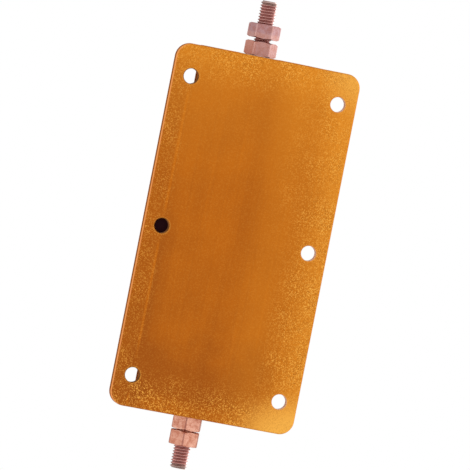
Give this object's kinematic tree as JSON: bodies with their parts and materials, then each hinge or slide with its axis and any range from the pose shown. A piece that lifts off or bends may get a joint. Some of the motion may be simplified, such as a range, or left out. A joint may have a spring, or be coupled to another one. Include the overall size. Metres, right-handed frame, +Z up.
{
  "type": "aluminium housed power resistor",
  "caption": "Wirewound power resistor in a finned gold-anodised aluminium housing with a flat screw-down base and a threaded copper terminal with nuts at each end.",
  "frame": {"origin": "middle of the base's underside", "axes": "+X along the bore and the studs, +Z up out of the base"},
  "size_m": [0.1646, 0.065, 0.042],
  "materials": {
    "anodised_aluminium": "gold anodised extrusion, satin",
    "terminal_copper": "copper, worn satin",
    "bush_ceramic": "off-white fired ceramic",
    "former_ceramic": "white ceramic",
    "filling": "grey cured compound",
    "resistance_alloy": "drawn ribbon",
    "cap_metal": "pressed steel"
  },
  "bodies": {
    "root": {"housing": "anodised_aluminium", "filling": "filling", "ceramic_former": "former_ceramic", "resistance_winding": "resistance_alloy", "end_cap_right": "cap_metal", "insulating_bush_right": "bush_ceramic", "terminal_stud_right": "terminal_copper", "inner_nut_right": "terminal_copper", "outer_nut_right": "terminal_copper", "end_cap_left": "cap_metal", "insulating_bush_left": "bush_ceramic", "terminal_stud_left": "terminal_copper", "inner_nut_left": "terminal_copper", "outer_nut_left": "terminal_copper"}
  },
  "joints": []
}
